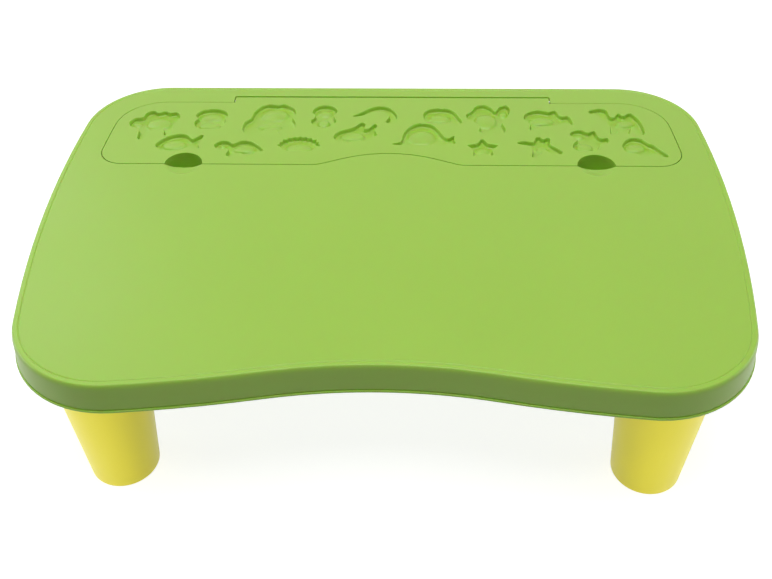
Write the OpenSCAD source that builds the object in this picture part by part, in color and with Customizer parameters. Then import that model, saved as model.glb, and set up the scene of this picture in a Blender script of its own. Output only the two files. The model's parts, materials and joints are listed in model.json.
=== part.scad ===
// Low play table for small children, with a clay-mould lid over a storage bin.
// Millimetres. The origin is on the floor under the middle of the table, +Z is up
// and the child sits at the -Y side.

/* [Table top] */
// Width of the deck, across the child
top_w = 620; // [600:1:660]
// Depth of the deck, from the front corners to the back edge
top_d = 427; // [410:1:450]
// Height of the deck above the floor
total_h = 150; // [140:1:220]
// Height of the apron, from the deck to the bottom of its lip
apron_h = 26.9; // [26:0.1:32]
// Thickness of the deck and of the apron wall
wall = 3; // [2.6:0.1:3.4]
// Radius of the back corners
back_corner_r = 76; // [70:0.1:84]
// How far the back corners turn, so that the sides run a little outwards
back_turn = 85.1; // [84:0.1:87]
// Radius of the bowed sides
side_r = 1154; // [1000:1:1300]
// Radius of the front corners
front_corner_r = 84.5; // [80:0.5:90]
// Radius of the nearly straight stretch beside each front corner
lobe_r = 1175; // [1100:1:1500]
// Radius of the belly cut-out
belly_r = 483; // [440:1:520]
// How far the belly cut-out turns each side of the middle
belly_turn = 10.8; // [9.8:0.1:11]

/* [Lid] */
// Distance from the back edge of the deck to the back seam of the lid
lid_inset = 31; // [30:0.1:33]
// Distance from the back seam to the front seam
lid_d = 109; // [107:0.5:112]
// Radius of the lid's front corners
lid_corner_r = 22; // [18:0.5:26]
// Seam between the lid and the deck
seam = 0.8; // [0.7:0.05:1.2]
// Thickness of the lid's panel
lid_t = 3.2; // [3:0.1:3.4]
// Depth of the clay moulds pressed into the lid
mould_depth = 4.8; // [4:0.1:5.2]
// Length of the hinge strip
strip_len = 322; // [312:1:330]
// How far the hinge strip reaches behind the back seam
strip_d = 11.5; // [11:0.1:12.5]
// Diameter of the hinge barrel along the strip's back edge
barrel_d = 7.2; // [7:0.1:7.4]
// Diameter of the two finger holes on the front seam
finger_hole_d = 36; // [32:0.2:38]
// Depth of the finger cups below the deck
finger_cup_depth = 12; // [10:0.5:14]
// Opening angle that the lid is drawn at
lid_angle = 0; // [0:1:100]

/* [Legs] */
// Sideways distance of the leg axes from the middle
leg_x = 225.5; // [221:0.5:227]
// Front and back distance of the leg axes from the middle
leg_y = 163; // [160:0.5:165]
// Diameter of the foot
foot_d = 58.6; // [52:0.2:64]
// Diameter of the leg where it comes out under the apron
leg_top_d = 76.2; // [74:0.2:77]
// Wall of the hollow leg
leg_wall = 2.6; // [2.2:0.1:3]

/* [Bin] */
// Depth of the bin's floor below the deck
bin_floor = 42; // [30:1:60]
// Wall of the bin
bin_wall = 2.2; // [2:0.1:2.6]

/* [Hidden] */

top_z = total_h;
back_y = top_d / 2;

// Colours
lime = "#a0c759";
leaf = "#8fb94f";
sun = "#e6d84e";
steel = "#b8bcc0";

// Outlines are walked clockwise from the middle of the back edge. Each stretch is
// [radius, turn], where a negative radius bends the other way, or [0, length].
// An outward offset d adds d to every radius, which keeps the stretches tangent.
half_turn = 180;
flat_limit_r = 300;
fine_step = 1.2;
coarse_step = 5;
function steps(r, turn) = max(3, ceil(abs(turn) / (abs(r) > flat_limit_r ? fine_step : coarse_step)));
function walk(p, h, stretches, d, i = 0) =
    i == len(stretches) ? [] :
    let (r = stretches[i][0], a = stretches[i][1])
    r == 0
        ? let (q = p + a * [cos(h), -sin(h)])
          concat([q + d * [sin(h), cos(h)]], walk(q, h, stretches, d, i + 1))
        : let (
            c = p - r * [sin(h), cos(h)],
            turn = r > 0 ? a : -a,
            n = steps(r, a),
            q = c + r * [sin(h + turn), cos(h + turn)]
          )
          concat(
              [for (k = [1:n]) let (g = h + turn * k / n) c + (r + d) * [sin(g), cos(g)]],
              walk(q, h + turn, stretches, d, i + 1)
          );
// The last point lies on the middle line, so its mirror image is left out
function mirrored(points) = [for (i = [len(points) - 2:-1:0]) [-points[i][0], points[i][1]]];
function both_halves(points) = concat(points, mirrored(points));

// Deck outline: the turns and lengths that close it
side_end = acos(
    (top_d - back_corner_r * (1 - cos(back_turn)) - side_r * cos(back_turn) - front_corner_r)
    / (front_corner_r - side_r)
);
side_turn = side_end - back_turn;
back_half = top_w / 2 - back_corner_r * sin(back_turn) - side_r * (1 - sin(back_turn));
lobe_x = back_half + back_corner_r * sin(back_turn) + side_r * (sin(side_end) - sin(back_turn))
    - front_corner_r * sin(side_end);
past_turn = asin(
    (lobe_x - (lobe_r + belly_r) * sin(belly_turn)) / (front_corner_r - lobe_r)
);
front_turn = half_turn + past_turn - side_end;
lobe_turn = belly_turn - past_turn;
deck_stretches = [
    [0, back_half], [back_corner_r, back_turn], [side_r, side_turn],
    [front_corner_r, front_turn], [lobe_r, lobe_turn], [-belly_r, belly_turn]
];
function deck_outline(d) = both_halves(walk([0, back_y], 0, deck_stretches, d));

// Lid outline: it follows the deck's back corners, and its front seam steps back
// round a low bump in the middle
lid_back = back_y - lid_inset;
lid_front = lid_back - lid_d;
lid_back_r = back_corner_r - lid_inset;
lid_side_r = side_r - lid_inset;
lid_side_end = acos(
    (lid_d - lid_back_r * (1 - cos(back_turn)) - lid_side_r * cos(back_turn) - lid_corner_r)
    / (lid_corner_r - lid_side_r)
);
bump_h = 19;
bump_top_r = 115;
bump_foot_r = 25;
bump_turn = 23;
bump_slope = (bump_h - (bump_top_r + bump_foot_r) * (1 - cos(bump_turn))) / sin(bump_turn);
bump_x = (bump_top_r + bump_foot_r) * sin(bump_turn) + bump_slope * cos(bump_turn);
lid_front_x = back_half + lid_back_r * sin(back_turn)
    + lid_side_r * (sin(lid_side_end) - sin(back_turn)) - lid_corner_r * sin(lid_side_end);
lid_stretches = [
    [0, back_half], [lid_back_r, back_turn], [lid_side_r, lid_side_end - back_turn],
    [lid_corner_r, half_turn - lid_side_end], [0, lid_front_x - bump_x],
    [bump_foot_r, bump_turn], [0, bump_slope], [-bump_top_r, bump_turn]
];
function lid_outline(d) = both_halves(walk([0, lid_back], 0, lid_stretches, d));

// Hinge
barrel_r = barrel_d / 2;
axis_y = lid_back + strip_d - barrel_r;
axis_z = top_z - barrel_r;
strip_gap = 1.2;
strip_corner_r = 3;
trough_r = barrel_r + 0.8;
trough_wall = 2;
trough_front = axis_y - trough_r - trough_wall;
trough_bottom = barrel_r + trough_r + trough_wall;
pin_r = 1.5;
pin_len = 30;
pin_in_lid = 12;
pin_play = 0.06;

// Recess under the lid
recess = lid_t + 1;
ledge_w = 8;
ledge_bottom = recess + 2.8;
recess_wall = 2.5;
rim_band = 4;
mould_floor = 1.6;
finger_x = 195.5;
cup_r = finger_hole_d / 2;
cup_wall = 2;
cup_bottom = finger_cup_depth + cup_wall;

// Leg sockets
shoulder_z = apron_h - 3.3;
neck_r = 33.5;
neck_top = shoulder_z - 8;
lug_out = 3.4;
lug_bottom = shoulder_z - 3;
lug_top = lug_bottom - 4;
lug_angle = 24;
lug_count = 3;
socket_ir = 37.6;
socket_or = 40.1;
collar_ir = neck_r + 0.7;
collar_t = 2.8;
lug_slot_r = neck_r + lug_out + 0.4;
lug_slot_angle = lug_angle * 1.3;
socket_top_rear = 13;
shelf_z = 10.5;
shelf_r = socket_or + 2.9;

// Bin
bin_gap = 1;
flange_t = 2.2;
flange_out = 12;
ear_z = 10.4;
ear_w = 14;
screw_r = 1.45;
screw_head_r = 3;
screw_head_h = 2;
screw_len = 7.6;
boss_r = 4;
front_screws = [for (x = [-240, -110, 110, 240]) [x, lid_front - 7.2]];
end_screws = [for (sx = [-1, 1]) [sx * 286.5, 98]];
rear_screws = [for (sx = [-1, 1]) [sx * 100, axis_y + 12.4]];

// ---------------------------------------------------------------- outlines

module on_deck(z) translate([0, 0, top_z - z]) children();

// A slab of the given outline between two depths below the deck
module slab(points, from, to) on_deck(to) linear_extrude(to - from) polygon(points);

function quarter(c, r, from, to, n) = [
    for (k = [0:n]) let (a = from + (to - from) * k / n) c + r * [cos(a), sin(a)]
];

// A ring that carries a closed section round the deck outline. Each point of the
// section is [outward offset, height], with heights measured from the deck.
module rim(section) {
    rings = [for (s = section) deck_outline(s[0])];
    n = len(rings[0]);
    m = len(section);
    points = [for (k = [0:m - 1], p = rings[k]) [p[0], p[1], top_z + section[k][1]]];
    faces = [
        for (k = [0:m - 1], i = [0:n - 1]) let (j = (i + 1) % n, l = (k + 1) % m)
            [k * n + i, l * n + i, l * n + j, k * n + j]
    ];
    polyhedron(points = points, faces = faces, convexity = 6);
}

// Rim section: a fine groove just inside the edge, the tight shoulder, the apron wall,
// which draws outwards towards its foot, and the lip along its bottom
groove_n = 5.8;
groove_w = 1.4;
groove_depth = 0.5;
shoulder_w = 1.6;
shoulder_h = 6.5;
shoulder_steps = 5;
draft = 1.6;
lip_t = 1.8;
lip_out = 2.5;
inner_r = 5;
rim_n = wall + inner_r + 1;
rim_section = concat(
    [[-rim_n, -wall], [-rim_n, 0],
     [-groove_n - groove_w / 2, 0], [-groove_n, -groove_depth], [-groove_n + groove_w / 2, 0]],
    [for (k = [0:shoulder_steps]) let (a = 90 * (1 - k / shoulder_steps))
        [shoulder_w * (cos(a) - 1), shoulder_h * (sin(a) - 1)]],
    [[draft, lip_t - apron_h], [lip_out, lip_t - apron_h], [lip_out, -apron_h], [draft - wall, -apron_h]],
    quarter([-wall - inner_r, -wall - inner_r], inner_r, 0, 90, 3)
);

module deck_shell() {
    rim(rim_section);
    slab(deck_outline(-rim_n), 0, wall);
}

// ---------------------------------------------------------------- clay moulds

// A closed smooth line through the points: each side becomes `cuts` short sides
function smooth(points, cuts = 3) =
    let (n = len(points))
    [for (i = [0:n - 1], k = [0:cuts - 1])
        let (
            t = k / cuts,
            a = points[(i + n - 1) % n], b = points[i], c = points[(i + 1) % n], d = points[(i + 2) % n]
        )
        (2 * b + (c - a) * t + (2 * a - 5 * b + 4 * c - d) * t * t
            + (3 * b - a - 3 * c + d) * t * t * t) / 2];
function sized(points, sx, sy) = [for (p = points) [sx * p[0], sy * p[1]]];
function oval(c, rx, ry) = [for (a = [0:20:340]) c + [rx * cos(a), ry * sin(a)]];
function star(n, r_out, r_in) = [
    for (k = [0:2 * n - 1]) (k % 2 == 0 ? r_out : r_in) * [sin(180 * k / n), cos(180 * k / n)]
];

sheep = [[-25, 3], [-20, 10], [-13, 10], [-11, 19], [-4, 22], [1, 18], [7, 22], [13, 18], [19, 20], [24, 12],
    [21, 2], [19, -5], [20, -17], [14, -19], [12, -8], [2, -8], [-3, -11], [-4, -24], [-11, -25], [-12, -11],
    [-17, -6], [-22, -4]];
bun = [[-16, 6], [-13, 14], [-5, 18], [5, 18], [13, 14], [16, 6], [13, 2], [15, -3], [14, -12], [8, -17],
    [-8, -17], [-14, -12], [-15, -3], [-12, 2]];
lion = [[-11, 24], [-4, 28], [4, 26], [10, 28], [16, 25], [22, 19], [24, 10], [21, 2], [25, -6], [25, -18],
    [21, -27], [12, -28], [8, -19], [-4, -19], [-8, -28], [-19, -29], [-25, -20], [-24, -6], [-18, 2],
    [-17, 12]];
cupcake = [[-11, 6], [-9, 14], [-3, 18], [3, 18], [9, 14], [11, 7], [8, 3], [9, -3], [11, -8], [8, -15],
    [2, -18], [-4, -17], [-10, -12], [-11, -6], [-8, -2], [-8, 3]];
banana = [[-23, -3], [-14, 4], [-4, 13], [6, 16], [15, 12], [21, 3], [22, -6], [17, -14], [11, -13], [13, -9],
    [15, -3], [12, 3], [5, 7], [-4, 5], [-13, -1]];
slug = [[-19, 2], [-15, 10], [-6, 13], [5, 12], [11, 8], [15, 0], [19, -9], [15, -13], [6, -11], [-6, -12],
    [-16, -9]];
rooster = [[-21, 8], [-15, 14], [-12, 21], [-4, 24], [3, 19], [7, 12], [12, 21], [19, 23], [21, 14], [18, 4],
    [12, -6], [15, -16], [12, -24], [4, -21], [-4, -24], [-10, -20], [-8, -12], [-14, -4], [-20, 0]];
dolphin = [[-23, 6], [-18, 14], [-8, 17], [1, 14], [8, 17], [10, 11], [14, 6], [19, 8], [22, 2], [23, -7],
    [18, -3], [12, -4], [4, -9], [-6, -9], [-12, -12], [-15, -18], [-19, -14], [-17, -6], [-22, 0]];
camel = [[-24, 14], [-22, 19], [-14, 21], [-7, 19], [-6, 12], [-4, 6], [1, 8], [4, 14], [8, 8], [12, 12],
    [16, 14], [20, 6], [23, -2], [24, -20], [18, -21], [16, -8], [12, -10], [10, -20], [4, -21], [2, -9],
    [-2, -20], [-8, -21], [-6, -6], [-12, 2], [-15, 12], [-20, 12]];
fish = [[-20, -4], [-14, 6], [-4, 12], [5, 11], [11, 4], [16, 9], [20, 12], [19, 4], [17, -3], [19, -10],
    [12, -5], [5, -11], [-5, -13], [-15, -11]];
turtle = [[-22, 5], [-17, 10], [-10, 9], [-6, 5], [0, 10], [8, 10], [15, 5], [22, -3], [17, -5], [13, -4],
    [14, -10], [9, -12], [4, -7], [-3, -7], [-6, -12], [-10, -9], [-8, -2], [-14, 0], [-20, 0]];
shark = [[-21, -6], [-17, 2], [-9, 6], [-2, 10], [5, 19], [9, 15], [7, 7], [13, 8], [18, 16], [21, 13],
    [18, 5], [21, -4], [15, -8], [12, -15], [6, -12], [-2, -13], [-8, -19], [-12, -14], [-18, -13]];
whale = [[-31, -18], [-22, -14], [-19, 1], [-12, 14], [-2, 19], [8, 16], [14, 7], [19, -4], [24, -8],
    [30, -3], [29, -10], [31, -17], [25, -15], [19, -19], [8, -19], [-8, -19], [-20, -19]];
plane = [[-22, 7], [-14, 10], [-5, 8], [-3, 15], [1, 18], [4, 12], [8, 16], [11, 14], [9, 6], [15, -1],
    [21, -8], [17, -12], [9, -8], [3, -4], [0, -9], [-4, -17], [-9, -17], [-7, -8], [-8, 1], [-15, 4]];
bee = [[-18, 10], [-14, 17], [-6, 18], [0, 13], [6, 18], [8, 8], [12, 3], [18, 5], [17, -3], [9, -6],
    [7, -13], [2, -18], [-5, -16], [-12, -18], [-17, -12], [-15, -4], [-11, 1], [-14, 6]];
bird = [[-21, 2], [-17, 11], [-9, 16], [0, 13], [5, 6], [9, 4], [14, -3], [21, -13], [17, -15], [9, -9],
    [3, -11], [-4, -15], [-9, -9], [-16, -9], [-20, -5]];
// Hedgehog: spines over a flat belly
spines = 11;
hedgehog = concat(
    [for (k = [0:2 * spines]) let (a = 180 - 90 * k / spines, s = k % 2 == 0 ? 0.8 : 1)
        s * [22 * cos(a), 18 * sin(a)] - [0, 4]],
    [[12, -11], [-13, -11]]
);

// Each mould: where it lies on the deck, its outline, and the domes in it, each with
// its centre, its half-axes, the height of its crown and how far it falls to its rim
moulds = [
    [[-237, 142], smooth(sized(sheep, 1, 1.08), 2),
        [[[4, 4], [13, 10], 3, 1.6], [[-18, 4], [5, 5], 2.2, 1.2]]],
    [[-181, 151], smooth(bun), [[[0, 8], [12, 6], 2.4, 1.4], [[0, -9], [11, 5], 3, 1]]],
    [[-121, 152], smooth(sized(lion, 1.02, 0.97), 2),
        [[[3, 11], [14, 11], 2.6, 1.4], [[3, 9], [7, 5], 3.6, 1], [[0, -10], [12, 5], 3, 1.4]]],
    [[-67, 157], smooth(sized(cupcake, 1.12, 1.1), 2),
        [[[0, 10], [8, 6], 2.2, 1.2], [[0, -9], [6, 7], 3, 1]]],
    [[-16, 160], smooth(banana), []],
    [[52, 158], smooth(sized(slug, 1, 1.1)), [[[-3, 0], [11, 7], 2.6, 1.4]]],
    [[98, 153], smooth(sized(rooster, 1.03, 1.1), 2),
        [[[-3, 1], [11, 13], 3, 1.6], [[15, 13], [4, 6], 2.2, 1.2]]],
    [[157, 151], smooth(sized(dolphin, 1.02, 1.1), 2), [[[-6, 3], [12, 7], 3, 1.6]]],
    [[224, 150], smooth(sized(camel, 1.04, 1.08), 2), [[[9, -1], [9, 5], 3, 1.2], [[-18, 17], [4, 3], 2, 1]]],
    [[-206, 110], smooth(sized(fish, 1.1, 1.1)), [[[-5, -1], [12, 8], 3, 1.6]]],
    [[-146, 100], smooth(sized(turtle, 1.1, 1.2), 2), [[[5, 2], [11, 6], 3, 1.6], [[-17, 7], [4, 3], 2, 1]]],
    [[-88, 107], hedgehog, [[[0, -3], [13, 7], 3, 1.6]]],
    [[-34, 127], smooth(shark, 2), [[[-3, -2], [12, 7], 3, 1.6]]],
    [[33, 126], smooth(whale), [[[-2, -2], [14, 13], 3, 2]]],
    [[90, 102], smooth(star(5, 16, 8.5), 2), [[[0, 0], [6, 6], 2, 1.4]]],
    [[145, 104], smooth(plane, 2), [[[2, 0], [6, 5], 2.6, 1.2]]],
    [[194, 115.5], smooth(bee, 2), [[[-6, -8], [8, 7], 3, 1.4], [[-9, 11], [5, 4], 2.2, 1]]],
    [[245, 104], smooth(sized(bird, 0.98, 1.04), 2), [[[-8, 3], [10, 7], 3, 1.6]]]
];

// A dome in a mould: an oval cut from a large ball
module dome(c, half_axes, crown, drop) {
    reach = max(half_axes[0], half_axes[1]);
    ball_r = (reach * reach + drop * drop) / (2 * drop);
    intersection() {
        translate([0, 0, -1]) linear_extrude(crown + 2) polygon(oval(c, half_axes[0], half_axes[1]));
        translate([c[0], c[1], crown - ball_r]) sphere(r = ball_r, $fn = 96);
    }
}

// ---------------------------------------------------------------- table top

// One leg socket: a tube under the deck with a collar that the leg's lugs twist over
module socket_tube(top) {
    on_deck(shoulder_z) cylinder(r = socket_or, h = shoulder_z - top, $fn = 120);
}

module socket_bore(top) {
    room = shoulder_z - collar_t;
    on_deck(room) cylinder(r = socket_ir, h = room - top, $fn = 120);
    on_deck(shoulder_z + 1) cylinder(r = collar_ir, h = collar_t + 2, $fn = 120);
    for (k = [0:lug_count - 1]) rotate(k * 360 / lug_count + 60 - lug_slot_angle / 2)
        on_deck(shoulder_z + 1) rotate_extrude(angle = lug_slot_angle, $fn = 120)
            translate([collar_ir - 1, 0]) square([lug_slot_r - collar_ir + 1, collar_t + 2]);
}

module leg_pair(sy) {
    for (sx = [-1, 1]) translate([sx * leg_x, sy * leg_y, 0]) children();
}

// Corner over a rear socket, in plan: a disc round the leg and all that lies outside it
module corner_plan(r) {
    for (sx = [-1, 1]) {
        translate([sx * leg_x, leg_y]) circle(r = r, $fn = 120);
        translate([sx > 0 ? leg_x : -leg_x - 90, leg_y - r]) square([90, 90]);
    }
}

module finger_spots() {
    for (sx = [-1, 1]) translate([sx * finger_x, lid_front, 0]) children();
}

module finger_cup_plan(r) finger_spots() circle(r = r, $fn = 96);

// A dished finger scoop: a ball that cuts a circle of the hole's size in the deck
scoop_depth = 4.6;
scoop_r = (cup_r * cup_r + scoop_depth * scoop_depth) / (2 * scoop_depth);
scoop_wall = 2.2;
module scoop_ball(extra) {
    finger_spots() translate([0, 0, top_z - scoop_depth + scoop_r]) sphere(r = scoop_r + extra, $fn = 160);
}

module underside_ribs() {
    rib_t = 2;
    rib_h = 6.6;
    intersection() {
        union() {
            for (y = [-120, -45, 30]) on_deck(rib_h) translate([-top_w / 2, y - rib_t / 2, 0])
                cube([top_w, rib_t, rib_h - 1]);
            for (x = [-150, -75, 0, 75, 150]) on_deck(rib_h) translate([x - rib_t / 2, -back_y, 0])
                cube([rib_t, back_y + lid_front - 15, rib_h - 1]);
        }
        slab(deck_outline(-wall / 2), 1, rib_h + 1);
    }
    for (x = [-150, -50, 50, 150]) on_deck(rib_h) translate([x - rib_t / 2, axis_y + 4, 0])
        cube([rib_t, back_y - wall / 2 - axis_y - 4, rib_h - 1]);
}

module hinge_recess_plan(grow) {
    w = strip_len / 2 + grow;
    r = strip_corner_r - grow / 2;
    back = lid_back + strip_d + grow;
    translate([-w, lid_back - ledge_w]) square([2 * w, back - r - lid_back + ledge_w]);
    translate([-w + r, lid_back]) square([2 * (w - r), back - lid_back]);
    for (sx = [-1, 1]) translate([sx * (w - r), back - r]) circle(r = r, $fn = 48);
}

module screw_bosses() {
    for (p = concat(front_screws, end_screws)) on_deck(ledge_bottom) translate([p[0], p[1], 0])
        cylinder(r = boss_r, h = ledge_bottom - wall / 2, $fn = 48);
    for (p = rear_screws) on_deck(ear_z) translate([p[0], p[1], 0])
        cylinder(r = boss_r, h = ear_z - wall / 2, $fn = 48);
}

module screw_pilots() {
    for (p = concat(front_screws, end_screws)) translate([p[0], p[1], top_z - ledge_bottom - 1])
        cylinder(r = screw_r, h = screw_len - flange_t + 1.2, $fn = 32);
    for (p = rear_screws) translate([p[0], p[1], top_z - ear_z - 1])
        cylinder(r = screw_r, h = screw_len - flange_t + 1.2, $fn = 32);
}

module pin_bores(r, from, to) {
    for (sx = [-1, 1]) translate([sx * from, axis_y, axis_z]) rotate([0, sx * 90, 0])
        cylinder(r = r, h = to - from, $fn = 48);
}

strip_end = strip_len / 2 + strip_gap;
pin_boss_len = 20;
pin_boss_d = 10;
pin_boss_h = 8;

module table_top() color(lime) difference() {
    union() {
        deck_shell();
        slab(lid_outline(seam + recess_wall), wall / 2, ledge_bottom);
        // shelves over the rear sockets
        on_deck(socket_top_rear) linear_extrude(socket_top_rear - ledge_bottom + 0.5) intersection() {
            polygon(lid_outline(-ledge_w + recess_wall));
            corner_plan(shelf_r);
        }
        // hinge trough and the bosses that hold its pins
        on_deck(trough_bottom) translate([-strip_end - trough_wall, trough_front, 0]) cube([
            2 * (strip_end + trough_wall), 2 * (trough_r + trough_wall), trough_bottom - wall / 2
        ]);
        for (sx = [-1, 1]) translate([sx * (strip_end + pin_boss_len / 2), axis_y, axis_z - 1])
            cube([pin_boss_len, pin_boss_d, pin_boss_h], center = true);
        intersection() {
            scoop_ball(scoop_wall);
            on_deck(ledge_bottom) translate([-top_w / 2, lid_front - 40, 0])
                cube([top_w, 40, ledge_bottom - wall / 2]);
        }
        on_deck(cup_bottom) linear_extrude(cup_bottom - recess + 0.5) intersection() {
            finger_cup_plan(cup_r + cup_wall);
            translate([-top_w / 2, lid_front - seam - recess_wall]) square([top_w, finger_hole_d]);
        }
        leg_pair(-1) socket_tube(wall / 2);
        leg_pair(1) socket_tube(socket_top_rear - 1);
        screw_bosses();
        underside_ribs();
    }
    slab(lid_outline(seam), -1, recess);
    on_deck(recess) linear_extrude(recess + 1) hinge_recess_plan(strip_gap);
    // opening over the bin, and the shallow part over the shelves
    on_deck(ledge_bottom + 1) linear_extrude(ledge_bottom + 1 - recess + 0.5) difference() {
        polygon(lid_outline(-ledge_w));
        corner_plan(shelf_r);
        finger_cup_plan(cup_r + cup_wall);
    }
    on_deck(shelf_z) linear_extrude(shelf_z - recess + 0.5) intersection() {
        polygon(lid_outline(-ledge_w));
        corner_plan(shelf_r + 1);
    }
    on_deck(ledge_bottom + 1) translate([-strip_len / 2 + 4, lid_back - 2 * ledge_w, 0])
        cube([strip_len - 8, trough_front - lid_back + 2 * ledge_w, ledge_bottom + 1 - recess + 0.5]);
    pin_bores(trough_r, -strip_end, 0);
    pin_bores(trough_r, 0, strip_end);
    pin_bores(pin_r, strip_end - 1, strip_end + pin_boss_len + pin_len);
    scoop_ball(0);
    finger_spots() on_deck(finger_cup_depth) intersection() {
        cylinder(r = cup_r, h = finger_cup_depth + 1, $fn = 96);
        translate([-finger_hole_d, 0, 0]) cube([2 * finger_hole_d, finger_hole_d, finger_cup_depth + 1]);
    }
    leg_pair(-1) socket_bore(wall);
    leg_pair(1) socket_bore(socket_top_rear);
    screw_pilots();
}

// ---------------------------------------------------------------- lid

module storage_lid_closed() {
    strip_w = strip_len / 2;
    difference() {
        union() {
            slab(lid_outline(0), 0, lid_t);
            difference() {
                slab(lid_outline(0), lid_t - 1, recess);
                slab(lid_outline(-rim_band), lid_t - 2, recess + 1);
            }
            on_deck(recess) linear_extrude(recess - lid_t + 1) intersection() {
                finger_cup_plan(cup_r + cup_wall);
                polygon(lid_outline(0));
            }
            // hinge strip and barrel, with their corners rounded in plan
            intersection() {
                union() {
                    on_deck(lid_t) translate([-strip_w, lid_back - 2, 0])
                        cube([strip_len, axis_y - lid_back + 2, lid_t]);
                    translate([-strip_w, axis_y, axis_z]) rotate([0, 90, 0])
                        cylinder(r = barrel_r, h = strip_len, $fn = 72);
                }
                on_deck(barrel_d + 1) linear_extrude(barrel_d + 2) hinge_recess_plan(0);
            }
            for (m = moulds) translate([m[0][0], m[0][1], top_z - mould_depth - mould_floor])
                linear_extrude(mould_depth) offset(delta = mould_floor) polygon(m[1]);
        }
        for (m = moulds) translate([m[0][0], m[0][1], top_z - mould_depth]) difference() {
            linear_extrude(mould_depth + 1) polygon(m[1]);
            for (d = m[2]) dome(d[0], d[1], d[2], d[3]);
        }
        finger_spots() on_deck(recess + 1) cylinder(r = cup_r, h = recess + 2, $fn = 96);
        pin_bores(pin_r + pin_play, strip_w - pin_in_lid - 1, strip_w + 1);
    }
}

module turned_with_lid() {
    translate([0, axis_y, axis_z]) rotate([-lid_angle, 0, 0]) translate([0, -axis_y, -axis_z]) children();
}

module storage_lid() color(lime) turned_with_lid() storage_lid_closed();

module hinge_pin() {
    rotate([0, 90, 0]) {
        cylinder(r = pin_r, h = pin_len - 0.6, $fn = 48);
        translate([0, 0, pin_len - 0.6]) cylinder(r1 = pin_r, r2 = pin_r - 0.5, h = 0.6, $fn = 48);
    }
}
pin_start = strip_len / 2 - pin_in_lid + pin_len;
module hinge_pin_left() color(steel) translate([-pin_start, axis_y, axis_z]) hinge_pin();
module hinge_pin_right() color(steel) translate([pin_start, axis_y, axis_z]) mirror([1, 0, 0]) hinge_pin();

// ---------------------------------------------------------------- bin

module bin_plan(inset, corner_r) {
    difference() {
        union() {
            polygon(lid_outline(-inset));
            translate([-strip_len / 2 + inset - 4, lid_back - 30])
                square([strip_len - 2 * inset + 8, trough_front - 0.2 + 4.8 - inset - lid_back + 30]);
        }
        corner_plan(corner_r);
        finger_cup_plan(cup_r + cup_wall + corner_r - shelf_r);
    }
}

module storage_bin() color(leaf) {
    outer = ledge_w - 1 - bin_wall;
    corner_outer = shelf_r + bin_gap;
    bottom = bin_floor + bin_wall;
    difference() {
        union() {
            on_deck(bottom) linear_extrude(bottom - ledge_bottom) bin_plan(outer, corner_outer);
            on_deck(ledge_bottom + flange_t) linear_extrude(flange_t) difference() {
                intersection() {
                    polygon(lid_outline(flange_out));
                    translate([-top_w / 2, lid_front - flange_out - 1])
                        square([top_w, leg_y - corner_outer - 1 - lid_front + flange_out]);
                }
                finger_cup_plan(cup_r + cup_wall + bin_gap);
            }
            for (p = rear_screws) on_deck(ear_z + flange_t) translate([p[0] - ear_w / 2, trough_front - 3, 0])
                cube([ear_w, p[1] + 6 - trough_front + 3, flange_t]);
        }
        on_deck(bin_floor) linear_extrude(bin_floor) bin_plan(outer + bin_wall, corner_outer + bin_wall);
        for (p = concat(front_screws, end_screws, rear_screws)) translate([p[0], p[1], top_z - ear_z - 10])
            cylinder(r = screw_r + 0.3, h = 20, $fn = 32);
    }
}

module bin_screw() {
    cylinder(r = screw_r, h = screw_len - 1, $fn = 32);
    translate([0, 0, screw_len - 1]) cylinder(r1 = screw_r, r2 = 0.5, h = 1, $fn = 32);
    difference() {
        translate([0, 0, -screw_head_h])
            cylinder(r1 = screw_head_r - 0.7, r2 = screw_head_r, h = screw_head_h, $fn = 48);
        for (a = [0, 90]) rotate(a) translate([-1.8, -0.35, -screw_head_h - 1]) cube([3.6, 0.7, 2.1]);
    }
}

module bin_screws() color(steel) {
    for (p = concat(front_screws, end_screws))
        translate([p[0], p[1], top_z - ledge_bottom - flange_t]) bin_screw();
    for (p = rear_screws)
        translate([p[0], p[1], top_z - ear_z - flange_t]) bin_screw();
}

// ---------------------------------------------------------------- legs

foot_edge_r = 2.6;
leg_slope = (leg_top_d - foot_d) / 2 / (total_h - apron_h);
function leg_r(z) = foot_d / 2 + leg_slope * z;
shoulder = total_h - shoulder_z;
neck_end = total_h - neck_top;

leg_section = concat(
    [[0, 0]],
    quarter([foot_d / 2 - foot_edge_r, foot_edge_r], foot_edge_r, -90, 0, 5),
    [[leg_r(shoulder - 0.6), shoulder - 0.6], [leg_r(shoulder) - 0.6, shoulder], [neck_r, shoulder],
     [neck_r, neck_end], [neck_r - leg_wall, neck_end], [neck_r - leg_wall, shoulder - 3],
     [leg_r(shoulder - 8) - leg_wall, shoulder - 8], [leg_r(leg_wall + 2) - leg_wall, leg_wall + 2],
     [leg_r(0) - leg_wall - 2, leg_wall], [0, leg_wall]]
);

module leg() color(sun) {
    rotate_extrude($fn = 160) polygon(leg_section);
    for (k = [0:lug_count - 1]) rotate(k * 360 / lug_count - lug_angle / 2)
        translate([0, 0, total_h - lug_bottom]) rotate_extrude(angle = lug_angle, $fn = 120)
            translate([neck_r - 1, 0]) square([lug_out + 1, lug_bottom - lug_top]);
}

module front_left_leg() translate([-leg_x, -leg_y, 0]) leg();
module front_right_leg() translate([leg_x, -leg_y, 0]) leg();
module rear_left_leg() translate([-leg_x, leg_y, 0]) leg();
module rear_right_leg() translate([leg_x, leg_y, 0]) leg();

table_top();
storage_lid();
hinge_pin_left();
hinge_pin_right();
storage_bin();
bin_screws();
front_left_leg();
front_right_leg();
rear_left_leg();
rear_right_leg();
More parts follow.
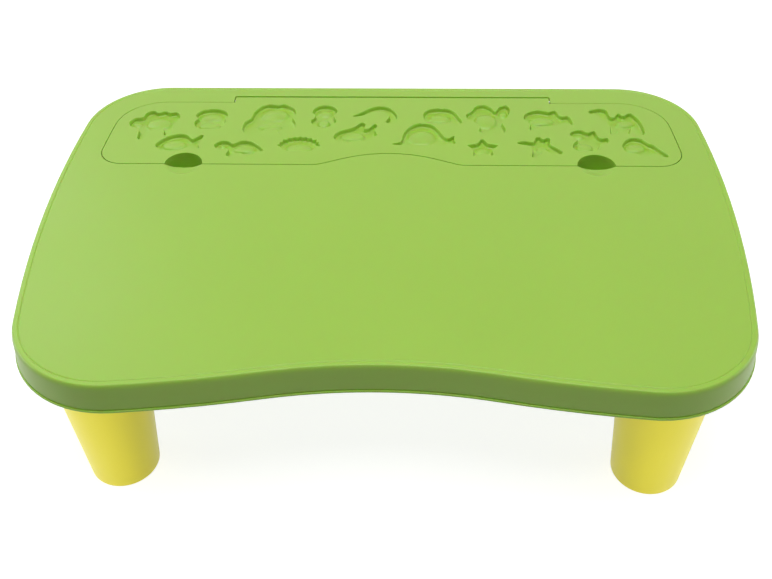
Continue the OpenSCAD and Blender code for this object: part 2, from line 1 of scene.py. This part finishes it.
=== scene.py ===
# %% [markdown]
# # A low play table with a clay-mould lid
#
# The table is a handful of large injection-moulded parts: a lime deck with a lip all
# round, a lid pressed with clay moulds, a bin under it, and four hollow yellow legs.
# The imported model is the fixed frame. It has every part at full size, but with
# knife-sharp edges. This lesson gives the parts what the mould and the plastic give
# the real ones: rounded edges, soft reliefs, and a satin skin that takes the light.

# %% Load the frame
import json
import math

import bpy
from mathutils import Matrix, Vector


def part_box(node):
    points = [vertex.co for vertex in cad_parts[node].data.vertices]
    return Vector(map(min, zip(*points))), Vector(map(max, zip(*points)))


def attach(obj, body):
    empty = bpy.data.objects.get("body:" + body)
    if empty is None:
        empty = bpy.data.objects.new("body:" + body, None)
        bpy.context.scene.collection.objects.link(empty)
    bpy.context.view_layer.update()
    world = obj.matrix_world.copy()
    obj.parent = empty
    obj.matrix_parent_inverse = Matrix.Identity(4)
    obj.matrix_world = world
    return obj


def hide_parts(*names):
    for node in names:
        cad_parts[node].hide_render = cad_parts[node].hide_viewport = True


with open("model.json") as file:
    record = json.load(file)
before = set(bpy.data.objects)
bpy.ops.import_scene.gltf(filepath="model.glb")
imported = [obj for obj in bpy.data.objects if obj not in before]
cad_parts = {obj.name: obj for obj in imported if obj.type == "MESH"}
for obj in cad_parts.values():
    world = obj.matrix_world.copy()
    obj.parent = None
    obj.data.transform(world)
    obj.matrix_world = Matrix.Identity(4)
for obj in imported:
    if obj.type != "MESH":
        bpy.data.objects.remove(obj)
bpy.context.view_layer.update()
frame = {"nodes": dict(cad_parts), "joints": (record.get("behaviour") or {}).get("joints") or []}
mm = 0.001

# %% [markdown]
# ## The camera
#
# The photograph was taken from in front of the child's side, looking down at about
# 42 degrees. A camera was fitted to the outline of the deck, the seams of the lid and
# the legs, so its place and turn are written as real sizes and angles. Its turn is
# built from three angles, which is easier to read than a matrix.

# %% Camera
photo_width = 772
focal_pixels = 1011.6
sensor_mm = 36
camera_place = Vector((0.0273, -0.7144, 0.7029))
camera_down = math.radians(42.08)
camera_yaw = math.radians(-2.32)
camera_roll = math.radians(-1.03)

bpy.ops.object.camera_add(location=camera_place)
camera = bpy.context.object
camera.name = "photo_camera"
camera.data.sensor_fit = "HORIZONTAL"
camera.data.sensor_width = sensor_mm
camera.data.lens = focal_pixels / photo_width * sensor_mm
forward = Vector((
    math.sin(camera_yaw) * math.cos(camera_down),
    math.cos(camera_yaw) * math.cos(camera_down),
    -math.sin(camera_down),
))
level = Vector((math.cos(camera_yaw), -math.sin(camera_yaw), 0))
level_up = level.cross(forward)
right = math.cos(camera_roll) * level + math.sin(camera_roll) * level_up
up = math.cos(camera_roll) * level_up - math.sin(camera_roll) * level
turn = Matrix((right, up, -forward)).transposed().to_4x4()
camera.matrix_world = Matrix.Translation(camera_place) @ turn
bpy.context.scene.camera = camera
print(f"lens {camera.data.lens:.1f} mm")

# %% [markdown]
# ## Two helpers for colours and nodes
#
# Colours are read off as sRGB hex values, and shaders want linear light, so one
# function turns them. Another adds a shader node with its settings and its links.

# %% Colour and node helpers
def linear(hex_colour):
    """The linear RGBA value of a colour written as sRGB hex."""
    shares = [int(hex_colour[i:i + 2], 16) / 255 for i in (1, 3, 5)]
    return [s / 12.92 if s <= 0.04045 else ((s + 0.055) / 1.055) ** 2.4 for s in shares] + [1]


def add(tree, kind, settings=None, **inputs):
    """Adds a node. Inputs are named by socket, with _ for a space, or by number, as in i0.
    A socket as a value is linked."""
    node = tree.nodes.new(kind)
    for key, value in (settings or {}).items():
        setattr(node, key, value)
    for key, value in inputs.items():
        numbered = key[0] == "i" and key[1:].isdigit()
        socket = node.inputs[int(key[1:])] if numbered else node.inputs[key.replace("_", " ")]
        if isinstance(value, bpy.types.NodeSocket):
            tree.links.new(value, socket)
        else:
            socket.default_value = value
    return node


def new_tree(owner):
    """Empties the owner's node tree and returns it."""
    owner.use_nodes = True
    owner.node_tree.nodes.clear()
    return owner.node_tree


# %% [markdown]
# ## Floor and light
#
# The background is plain white. The floor is a pale grey card that takes the soft
# shadow of the table. Only rays from the camera, off gloss and through glass see it and
# the world behind it as white, so the backdrop puts no extra light on the table. A wide
# softbox overhead gives the even light on the deck. A weaker one at the back on the left
# gives its left half a little sheen, and two low ones at the sides light the ends of the
# apron. The front wall sees mostly the floor, so it comes out darker and greyer than the
# deck, as it does in the photograph.

# %% Floor
floor_size = 12
card_glow = 0.85
bpy.ops.mesh.primitive_plane_add(size=floor_size, location=(0, 0, 0))
floor = bpy.context.object
floor.name = "floor"
floor_card = bpy.data.materials.new("pale_grey_card")
tree = new_tree(floor_card)


def camera_gloss_or_glass(tree):
    """1 for the rays that see a backdrop: from the camera, off gloss and through glass."""
    rays = add(tree, "ShaderNodeLightPath")
    two = add(
        tree, "ShaderNodeMath", {"operation": "MAXIMUM"},
        i0=rays.outputs["Is Camera Ray"], i1=rays.outputs["Is Glossy Ray"],
    )
    three = add(
        tree, "ShaderNodeMath", {"operation": "MAXIMUM"},
        i0=two.outputs[0], i1=rays.outputs["Is Transmission Ray"],
    )
    return three.outputs[0]


card = add(tree, "ShaderNodeBsdfDiffuse", Color=linear("#b8b8b6"))
glow = add(tree, "ShaderNodeEmission", Color=linear("#ffffff"), Strength=card_glow)
dark = add(tree, "ShaderNodeEmission", Color=linear("#000000"), Strength=0.0)
seen = add(
    tree, "ShaderNodeMixShader",
    Fac=camera_gloss_or_glass(tree), i1=dark.outputs[0], i2=glow.outputs[0],
)
total = add(tree, "ShaderNodeAddShader", i0=card.outputs[0], i1=seen.outputs[0])
add(tree, "ShaderNodeOutputMaterial", Surface=total.outputs[0])
floor.data.materials.append(floor_card)

# %% World and lamps
room_level, backdrop_level = 0.13, 1.0
world = bpy.data.worlds.new("white_studio")
bpy.context.scene.world = world
tree = new_tree(world)
room = add(tree, "ShaderNodeBackground", Color=linear("#ffffff"), Strength=room_level)
backdrop = add(tree, "ShaderNodeBackground", Color=linear("#ffffff"), Strength=backdrop_level)
shown = add(
    tree, "ShaderNodeMixShader",
    Fac=camera_gloss_or_glass(tree), i1=room.outputs[0], i2=backdrop.outputs[0],
)
add(tree, "ShaderNodeOutputWorld", Surface=shown.outputs[0])


def softbox(name, place, aim, size, watts, lights_only=None):
    """A square area lamp at a place, turned to face a point. A list in lights_only keeps
    its light off all other pieces."""
    bpy.ops.object.light_add(type="AREA", location=place)
    lamp = bpy.context.object
    lamp.name = name
    lamp.data.size = size
    lamp.data.energy = watts
    lamp.visible_camera = False
    lamp.rotation_euler = (Vector(aim) - Vector(place)).to_track_quat("-Z", "Y").to_euler()
    if lights_only:
        flagged = bpy.data.collections.new(name + "_receivers")
        for obj in lights_only:
            flagged.objects.link(obj)
        lamp.light_linking.receiver_collection = flagged


table_middle = (0, 0, 0.1)
softbox("overhead_softbox", (0, -0.15, 1.9), table_middle, size=1.6, watts=27)
softbox("rear_left_softbox", (-1.1, 1.1, 1.3), table_middle, size=0.8, watts=4)
softbox("side_left_softbox", (-2.0, 0.1, 0.35), table_middle, size=0.8, watts=8)
softbox("side_right_softbox", (2.0, 0.1, 0.35), table_middle, size=0.8, watts=7)

# %% [markdown]
# ## Moulded polypropylene
#
# All the coloured parts are injection-moulded polypropylene. The steel mould is
# spark-eroded to a very fine grain, so the plastic has a satin skin: one broad soft
# highlight and no sharp reflections. The pigment is mixed in, so the colour is even,
# with only a faint cloudiness where the melt flowed. The plastic lets a little light
# in, which softens the edges of shadows.

# %% Polypropylene
grain_mm, grain_height_mm, grain_strength = 0.9, 0.04, 0.12
flow_mm = 90
polish_play = 0.03


def moulded_polypropylene(
        name, colour, cloud_colour, roughness, glow_depth_mm, glow_share, glow_colour):
    """Satin moulded plastic: even pigment, faint flow clouds and a fine spark-eroded grain."""
    material = bpy.data.materials.new(name)
    tree = new_tree(material)
    place = add(tree, "ShaderNodeTexCoord")
    clouds = add(
        tree, "ShaderNodeTexNoise", Vector=place.outputs["Object"],
        Scale=1 / (flow_mm * mm), Detail=2.0, Roughness=0.5,
    )
    pigment = add(
        tree, "ShaderNodeMix", {"data_type": "RGBA"}, i0=clouds.outputs["Fac"],
        i6=linear(colour), i7=linear(cloud_colour),
    )
    grain = add(
        tree, "ShaderNodeTexNoise", Vector=place.outputs["Object"],
        Scale=1 / (grain_mm * mm), Detail=3.0, Roughness=0.6,
    )
    # The real grain is a few hundredths of a millimetre. It is drawn coarser, so that it
    # still breaks up the highlight at this size of picture.
    relief = add(
        tree, "ShaderNodeBump", Height=grain.outputs["Fac"],
        Strength=grain_strength, Distance=grain_height_mm * mm,
    )
    polish = add(
        tree, "ShaderNodeMapRange", Value=clouds.outputs["Fac"], From_Min=0.3, From_Max=0.7,
        To_Min=roughness - polish_play, To_Max=roughness + polish_play,
    )
    plastic = add(
        tree, "ShaderNodeBsdfPrincipled", Base_Color=pigment.outputs[2],
        Roughness=polish.outputs[0], IOR=1.49, Subsurface_Weight=glow_share,
        Subsurface_Radius=glow_colour, Subsurface_Scale=glow_depth_mm * mm,
        Normal=relief.outputs[0],
    )
    add(tree, "ShaderNodeOutputMaterial", Surface=plastic.outputs[0])
    return material


# Green pigment lets green light travel farthest, so shaded places turn a deeper green.
green_glow = {"glow_depth_mm": 3.0, "glow_share": 0.6, "glow_colour": (0.3, 1.0, 0.12)}
yellow_glow = {"glow_depth_mm": 6.0, "glow_share": 0.3, "glow_colour": (1.0, 0.9, 0.2)}
lime = moulded_polypropylene(
    "lime_moulded_polypropylene", "#9fc944", "#a1cb46", roughness=0.38, **green_glow)
leaf = moulded_polypropylene(
    "leaf_moulded_polypropylene", "#6fae3c", "#74b140", roughness=0.42, **green_glow)
sun = moulded_polypropylene(
    "yellow_moulded_polypropylene", "#f2e332", "#f4e536", roughness=0.36, **yellow_glow)


# %% Zinc
drawn_line_mm = 0.3
zinc_play = 0.08


def zinc_plated_steel(name, colour, roughness):
    """Drawn steel with a thin zinc plate: grey, bright along the drawing lines."""
    material = bpy.data.materials.new(name)
    tree = new_tree(material)
    place = add(tree, "ShaderNodeTexCoord")
    lines = add(
        tree, "ShaderNodeTexNoise", Vector=place.outputs["Object"],
        Scale=1 / (drawn_line_mm * mm), Detail=2.0,
    )
    polish = add(
        tree, "ShaderNodeMapRange", Value=lines.outputs["Fac"],
        To_Min=roughness - zinc_play, To_Max=roughness + zinc_play,
    )
    steel = add(
        tree, "ShaderNodeBsdfPrincipled", Base_Color=linear(colour), Metallic=1.0,
        Roughness=polish.outputs[0],
    )
    add(tree, "ShaderNodeOutputMaterial", Surface=steel.outputs[0])
    return material


zinc = zinc_plated_steel("zinc_plated_steel", "#c4c7ca", roughness=0.32)

# %% [markdown]
# ## Mouldings with rounded edges
#
# The frame's parts are lists of loose triangles. A copy of a part is merged into one
# skin, and its flat faces are dissolved into single faces, so that its edges are real
# edges again. Real mouldings have no knife edges: the steel mould has small radii, so
# each sharp edge of the copy gets a small bevel, which catches the light.

# %% Helpers that select and copy
def only(obj):
    """Selects one object, and makes it the one that operators act on."""
    bpy.ops.object.select_all(action="DESELECT")
    obj.select_set(True)
    bpy.context.view_layer.objects.active = obj


def pick_faces(obj, wanted):
    """Selects the faces for which wanted(face) is true, and nothing else, and counts them."""
    only(obj)
    bpy.ops.object.mode_set(mode="EDIT")
    bpy.ops.mesh.select_mode(type="FACE")
    bpy.ops.mesh.select_all(action="DESELECT")
    bpy.ops.object.mode_set(mode="OBJECT")
    picked = 0
    for face in obj.data.polygons:
        face.select = wanted(face)
        picked += face.select
    return picked


merge_distance = 0.002 * mm
flat_angle = math.radians(0.6)


def skin_of(node, name):
    """A copy of a CAD node's mesh in a new object, merged into one closed skin."""
    obj = bpy.data.objects.new(name, frame["nodes"][node].data.copy())
    bpy.context.scene.collection.objects.link(obj)
    obj.data.materials.clear()
    only(obj)
    bpy.ops.object.mode_set(mode="EDIT")
    bpy.ops.mesh.select_all(action="SELECT")
    bpy.ops.mesh.remove_doubles(threshold=merge_distance)
    bpy.ops.object.mode_set(mode="OBJECT")
    return obj


def dissolve_flats(obj):
    """Turns each flat patch of triangles into one face."""
    only(obj)
    bpy.ops.object.mode_set(mode="EDIT")
    bpy.ops.mesh.select_all(action="SELECT")
    bpy.ops.mesh.dissolve_limited(angle_limit=flat_angle)
    bpy.ops.object.mode_set(mode="OBJECT")


def apply_modifier(obj, kind, **settings):
    """Adds a modifier with its settings and applies it."""
    only(obj)
    modifier = obj.modifiers.new(kind.lower(), kind)
    for key, value in settings.items():
        setattr(modifier, key, value)
    bpy.ops.object.modifier_apply(modifier=modifier.name)


def finish_piece(obj, material, body, slot, smooth_degrees, *nodes):
    """Smooth shading, a material, the body it rides on and the CAD nodes it stands for.
    Large flat faces weigh most in the shading, so they stay flat up to their rounded edges."""
    only(obj)
    bpy.ops.object.shade_smooth_by_angle(angle=math.radians(smooth_degrees))
    apply_modifier(obj, "WEIGHTED_NORMAL", mode="FACE_AREA", weight=80, keep_sharp=True)
    obj.data.materials.clear()
    obj.data.materials.append(material)
    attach(obj, body)
    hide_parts(*nodes)
    triangles = sum(len(face.vertices) - 2 for face in obj.data.polygons)
    print(f"{obj.name}: {triangles} triangles")


# %% The deck
edge_radius = 0.35 * mm
sharp_angle = math.radians(40)
deck = skin_of("table_top", "deck")
dissolve_flats(deck)

# %% [markdown]
# The deck's rim is where the light tells its shape: a fine groove, a soft shoulder, the
# wall of the apron and a bead along its foot. The steel mould is polished there, so the
# shoulder starts wider than in the frame, the groove's bottom is crisper, and the bead
# is round, with a fine groove above it. Each row of the rim's corners lies at its own
# height, which picks it out.
#
# The floors of the two finger cups are sunk 8 mm here, so that they look as dark as in
# the photograph. The cups of the frame, and so their collision, are 12 mm deep.

# %% The deck's rim
deck_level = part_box("table_top")[1][2]
deck_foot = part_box("table_top")[0][2]
row_play = 0.02 * mm
shoulder_width, shoulder_height, shoulder_rows = 1.6 * mm, 6.5 * mm, 5
shoulder_widening = 0.6
groove_depth, groove_crispness, groove_slope = 0.5 * mm, 0.2 * mm, 0.83
bead_height = 1.8 * mm
foot_groove_height, foot_groove_depth = 1.4 * mm, 0.8 * mm
cup_floor_levels, cup_deepening = (12 * mm, 14 * mm), 8 * mm
cup_place, cup_reach = Vector((195.5 * mm, 73.5 * mm)), 26 * mm


def near(value, level):
    """Is the value at this level?"""
    return abs(value - level) < row_play


def heights_of(obj, face):
    """The lowest and the highest corner of a face."""
    levels = [obj.data.vertices[corner].co.z for corner in face.vertices]
    return min(levels), max(levels)


def row_turn(row):
    """The angle at which the shoulder's rounding stands at a row."""
    return math.pi / 2 * (1 - row / shoulder_rows)


row_levels = [
    deck_level + shoulder_height * (math.sin(row_turn(row)) - 1) for row in range(shoulder_rows + 1)
]
row_depths = [shoulder_width * (1 - math.cos(row_turn(row))) for row in range(shoulder_rows + 1)]

bead_top = deck_foot + bead_height
pick_faces(
    deck, lambda face: near(heights_of(deck, face)[0], bead_top)
    and near(heights_of(deck, face)[1], row_levels[-1]),
)
bpy.ops.object.mode_set(mode="EDIT")
bpy.ops.mesh.bisect(plane_co=(0, 0, bead_top + foot_groove_height), plane_no=(0, 0, 1))
bpy.ops.object.mode_set(mode="OBJECT")

shifts = {}
for face in deck.data.polygons:
    low, high = heights_of(deck, face)
    if near(low, bead_top) and near(high, bead_top + foot_groove_height):
        for corner in face.vertices:
            if near(deck.data.vertices[corner].co.z, bead_top):
                shifts[corner] = (-foot_groove_depth, 0)
    for row in range(shoulder_rows):
        if near(high, row_levels[row]) and near(low, row_levels[row + 1]):
            for corner in face.vertices:
                at = row if near(deck.data.vertices[corner].co.z, row_levels[row]) else row + 1
                shifts[corner] = (-shoulder_widening * row_depths[at], 0)
    in_groove = near(high, deck_level) and near(low, deck_level - groove_depth)
    if in_groove and face.normal.z < groove_slope:
        for corner in face.vertices:
            if near(deck.data.vertices[corner].co.z, deck_level - groove_depth):
                shifts[corner] = (0, -groove_crispness)
for vertex in deck.data.vertices:
    in_cup = (Vector((abs(vertex.co.x), vertex.co.y)) - cup_place).length < cup_reach
    if in_cup and any(near(vertex.co.z, deck_level - level) for level in cup_floor_levels):
        shifts[vertex.index] = (0, -cup_deepening)
normals = [vertex.normal.copy() for vertex in deck.data.vertices]
for corner, (outwards, upwards) in shifts.items():
    outward = Vector((normals[corner].x, normals[corner].y, 0))
    deck.data.vertices[corner].co.z += upwards
    if outwards and outward.length > 0:
        deck.data.vertices[corner].co += outward.normalized() * outwards
print(f"{len(shifts)} corners of the rim shaped")


def pick_edges(obj, wanted):
    """Selects the edges for which wanted(steeper face, flatter face, its height) is true."""
    only(obj)
    bpy.ops.object.mode_set(mode="EDIT")
    bpy.ops.mesh.select_mode(type="EDGE")
    bpy.ops.mesh.select_all(action="DESELECT")
    bpy.ops.object.mode_set(mode="OBJECT")
    sides = {}
    for face in obj.data.polygons:
        for key in face.edge_keys:
            sides.setdefault(key, []).append(face)
    picked = 0
    for edge in obj.data.edges:
        faces = sorted(sides.get(edge.key, []), key=lambda face: abs(face.normal.z))
        low, high = sorted(obj.data.vertices[corner].co.z for corner in edge.vertices)
        edge.select = len(faces) == 2 and near(low, high) and wanted(faces[0], faces[1], low)
        picked += edge.select
    return picked


bead_radius, bead_segments = 0.75 * mm, 4
flat_slope = 0.99


def is_bead_edge(steep, flat, height):
    """Is this the upper outer edge of the bead along the apron's foot?"""
    low = heights_of(deck, steep)[0]
    return near(height, bead_top) and near(low, deck_foot) and flat.normal.z > flat_slope


print(pick_edges(deck, is_bead_edge), "edges of the bead")
bpy.ops.object.mode_set(mode="EDIT")
bpy.ops.mesh.bevel(
    offset=bead_radius, segments=bead_segments, affect="EDGES", clamp_overlap=False)
bpy.ops.object.mode_set(mode="OBJECT")

# %% [markdown]
# Last, the other sharp edges of the deck get their small radius. The bin and the legs
# are rounded in the same way further on.

# %% The deck's rounded edges
skin_depth = 1 * mm


def round_edges(piece, radius):
    """Rounds the sharp edges of a piece. Its lower faces, which lie round ribs and holes, are
    cut into triangles first, because the rounding would fold them. No corner rises."""
    piece_level = max(vertex.co.z for vertex in piece.data.vertices)
    pick_faces(
        piece,
        lambda face: len(face.vertices) > 4 and face.center.z < piece_level - skin_depth,
    )
    bpy.ops.object.mode_set(mode="EDIT")
    bpy.ops.mesh.quads_convert_to_tris(quad_method="BEAUTY", ngon_method="BEAUTY")
    bpy.ops.object.mode_set(mode="OBJECT")
    apply_modifier(
        piece, "BEVEL", width=radius, segments=2, limit_method="ANGLE", angle_limit=sharp_angle,
        use_clamp_overlap=False, harden_normals=False, miter_outer="MITER_ARC",
    )
    for vertex in piece.data.vertices:
        vertex.co.z = min(vertex.co.z, piece_level)


round_edges(deck, edge_radius)
finish_piece(deck, lime, "table", "deck_plastic", 35, "table_top")

# %% [markdown]
# ## The lid and its clay moulds
#
# A child presses clay into 18 shallow shapes. In the photograph their edges are soft and
# their floors swell a little, as they do when the steel mould is milled with round
# cutters and polished. The frame's wells have the outlines, the depth and the domes, but
# sharp edges. So each well is taken out of the lid's skin and closed into a solid stamp.
# The stamp is softened like wax, and then it is pressed into the lid again.

# %% Take the wells out of the lid
lid = skin_of("storage_lid", "lid")
lid_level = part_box("storage_lid")[1][2]
level_slope = 0.999


def is_lid_face(face):
    """Is the face part of the lid's flat top?"""
    return face.normal.z > level_slope and near(face.center.z, lid_level)


top_faces = pick_faces(lid, is_lid_face)
bpy.ops.object.mode_set(mode="EDIT")
bpy.ops.mesh.delete(type="FACE")
bpy.ops.mesh.select_all(action="SELECT")
bpy.ops.mesh.separate(type="LOOSE")
bpy.ops.object.mode_set(mode="OBJECT")
parts = sorted(bpy.context.selected_objects, key=lambda part: len(part.data.vertices))
lid, wells = parts[-1], parts[:-1]
lid.name = "lid"
print(f"{top_faces} faces of the lid's top, {len(wells)} wells")

# %% Close the lid's top and the wells
stamp_rise = 3 * mm


def close_top(obj, rise=0.0):
    """Fills the open rim of a part, and lifts the new face."""
    only(obj)
    bpy.ops.object.mode_set(mode="EDIT")
    bpy.ops.mesh.select_mode(type="EDGE")
    bpy.ops.mesh.select_all(action="DESELECT")
    bpy.ops.mesh.select_non_manifold(extend=False)
    if rise:
        bpy.ops.mesh.extrude_region_move(TRANSFORM_OT_translate={"value": (0, 0, rise)})
    bpy.ops.mesh.edge_face_add()
    bpy.ops.mesh.select_all(action="SELECT")
    bpy.ops.mesh.normals_make_consistent(inside=False)
    bpy.ops.object.mode_set(mode="OBJECT")


close_top(lid)
for well in wells:
    close_top(well, stamp_rise)

# %% [markdown]
# Along its back the lid ends in a round barrel, which turns in a trough of the deck. In
# the photograph the lid's top runs on flat there, up to a narrow gap. A small nose over
# the barrel does the same.

# %% The nose over the hinge
hinge_y, hinge_z = frame["joints"][0]["pos_m"][1:]
barrel_radius, nose_radius, barrel_play = 3.6 * mm, 4.15 * mm, 0.05 * mm
nose_turn = math.acos(barrel_radius / nose_radius)
nosed = 0
for vertex in lid.data.vertices:
    back, rise = vertex.co.y - hinge_y, vertex.co.z - hinge_z
    turned = math.atan2(back, rise)
    if abs(math.hypot(back, rise) - barrel_radius) < barrel_play and 0 < turned < math.pi / 2:
        if turned < nose_turn:
            reach = barrel_radius / math.cos(turned)
        else:
            left = (turned - nose_turn) / (math.pi / 2 - nose_turn)
            reach = nose_radius - (nose_radius - barrel_radius) * left ** 2
        vertex.co.y = hinge_y + reach * math.sin(turned)
        vertex.co.z = hinge_z + reach * math.cos(turned)
        nosed += 1
print(f"{nosed} corners of the nose")

# %% Soften the stamps and press them in
stamp_voxel, softening, softening_rounds = 0.85 * mm, 0.5, 20
fillet, flare_share, wall_slope = 1.6 * mm, 0.8, 0.3
only(wells[0])
for well in wells:
    well.select_set(True)
bpy.ops.object.join()
stamps = bpy.context.object
stamps.name = "stamps"
apply_modifier(stamps, "REMESH", mode="VOXEL", voxel_size=stamp_voxel)
apply_modifier(stamps, "SMOOTH", factor=softening, iterations=softening_rounds)
print("stamps:", len(stamps.data.polygons), "faces")
normals = [vertex.normal.copy() for vertex in stamps.data.vertices]
for vertex, normal in zip(stamps.data.vertices, normals):
    climb = (vertex.co.z - (lid_level - fillet)) / fillet
    if climb > 0:
        outward = Vector((normal.x, normal.y, 0))
        if outward.length > wall_slope:
            arc = 1 - math.sqrt(1 - min(climb, flare_share) ** 2)
            vertex.co += outward.normalized() * arc * fillet
apply_modifier(lid, "BOOLEAN", object=stamps, operation="DIFFERENCE", solver="MANIFOLD")
bpy.data.objects.remove(stamps)
finish_piece(lid, lime, "lid", "lid_plastic", 40, "storage_lid")

# %% [markdown]
# ## The bin, the legs and the steel
#
# The bin and the legs get small radii like the deck's. The yellow of the legs is the
# lightest colour of the table, and the photograph shows it as bright as the deck,
# although the legs stand below it. Under the common lamps they come out much darker. So
# two low softboxes, flagged off everything else, light the legs alone from both sides.

# %% The bin and the legs
small_radius = 0.3 * mm


def rounded_copy(node, name, radius):
    """A copy of a CAD node, with its sharp edges rounded."""
    piece = skin_of(node, name)
    dissolve_flats(piece)
    round_edges(piece, radius)
    return piece


tray = rounded_copy("storage_bin", "storage_tray", small_radius)
finish_piece(tray, leaf, "table", "bin_plastic", 35, "storage_bin")
legs = []
for corner in ("front_left", "front_right", "rear_left", "rear_right"):
    leg = rounded_copy(corner + "_leg", corner + "_foot", small_radius)
    finish_piece(leg, sun, "table", "leg_plastic", 35, corner + "_leg")
    legs.append(leg)
softbox(
    "low_left_softbox", (-1.1, -1.1, 0.25), (-0.2, -0.16, 0.05),
    size=0.6, watts=10, lights_only=legs,
)
softbox(
    "low_right_softbox", (1.1, -1.1, 0.25), (0.2, -0.16, 0.05),
    size=0.6, watts=9, lights_only=legs,
)

# %% The steel
for node in ("bin_screws", "hinge_pin_left", "hinge_pin_right"):
    hardware = frame["nodes"][node]
    hardware.data.materials.clear()
    hardware.data.materials.append(zinc)

# %% Finish
bpy.context.scene.view_settings.view_transform = "Standard"
